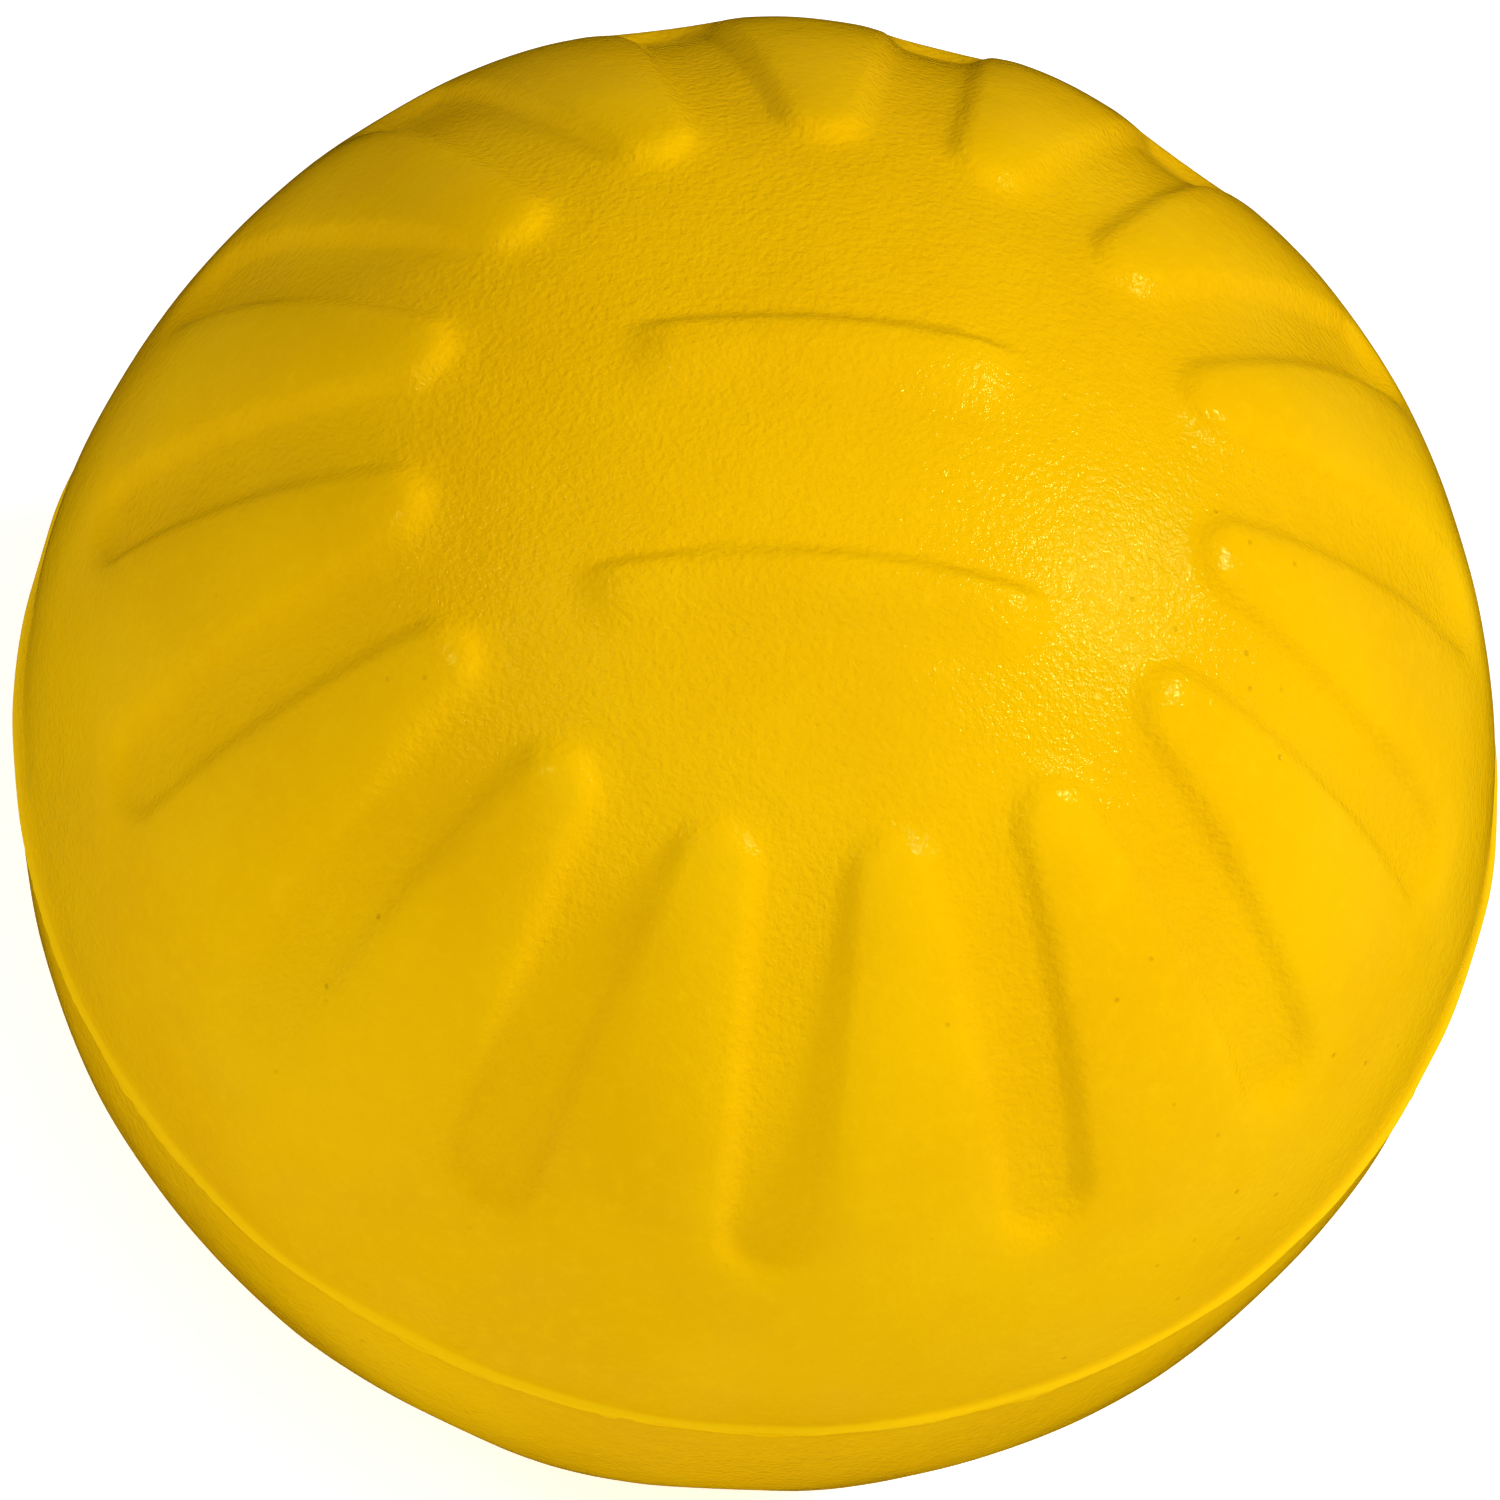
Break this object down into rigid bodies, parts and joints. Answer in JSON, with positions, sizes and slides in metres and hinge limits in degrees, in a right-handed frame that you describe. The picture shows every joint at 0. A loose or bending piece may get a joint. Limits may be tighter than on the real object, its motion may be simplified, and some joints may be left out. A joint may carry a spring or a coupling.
{
  "type": "stress ball",
  "caption": "Round yellow foam squeeze ball with a raised star of petals, a recessed disc with plain bars and a moulding line, to be squeezed in one hand.",
  "frame": {"origin": "centre of the ball, in the plane of the moulding line", "axes": "+Z runs from the centre through the middle of the marked disc, -Y along the middle of a groove, +X along the bars of the mark"},
  "size_m": [0.0705, 0.0704, 0.0687],
  "materials": {
    "skin": "satin",
    "core": "matte",
    "flash": "satin"
  },
  "bodies": {
    "lower_half": {"lower_skin": "skin", "foam_core": "core"},
    "upper_half": {"upper_skin": "skin"},
    "seam": {"parting_line_bead": "flash"}
  },
  "joints": [
    {"name": "squeeze", "type": "slide", "parent": "lower_half", "child": "upper_half", "axis": [0, 0, -1], "range_m": [0, 0.024], "stiffness_N_per_m": 2000, "deforming": ["upper_skin", "lower_skin", "foam_core"]},
    {"name": "seam_shift", "type": "slide", "parent": "lower_half", "child": "seam", "axis": [0, 0, -1], "range_m": [0, 0.012]}
  ],
  "couplings": [
    {"joint": "seam_shift", "follows": "squeeze", "ratio": 0.5}
  ]
}
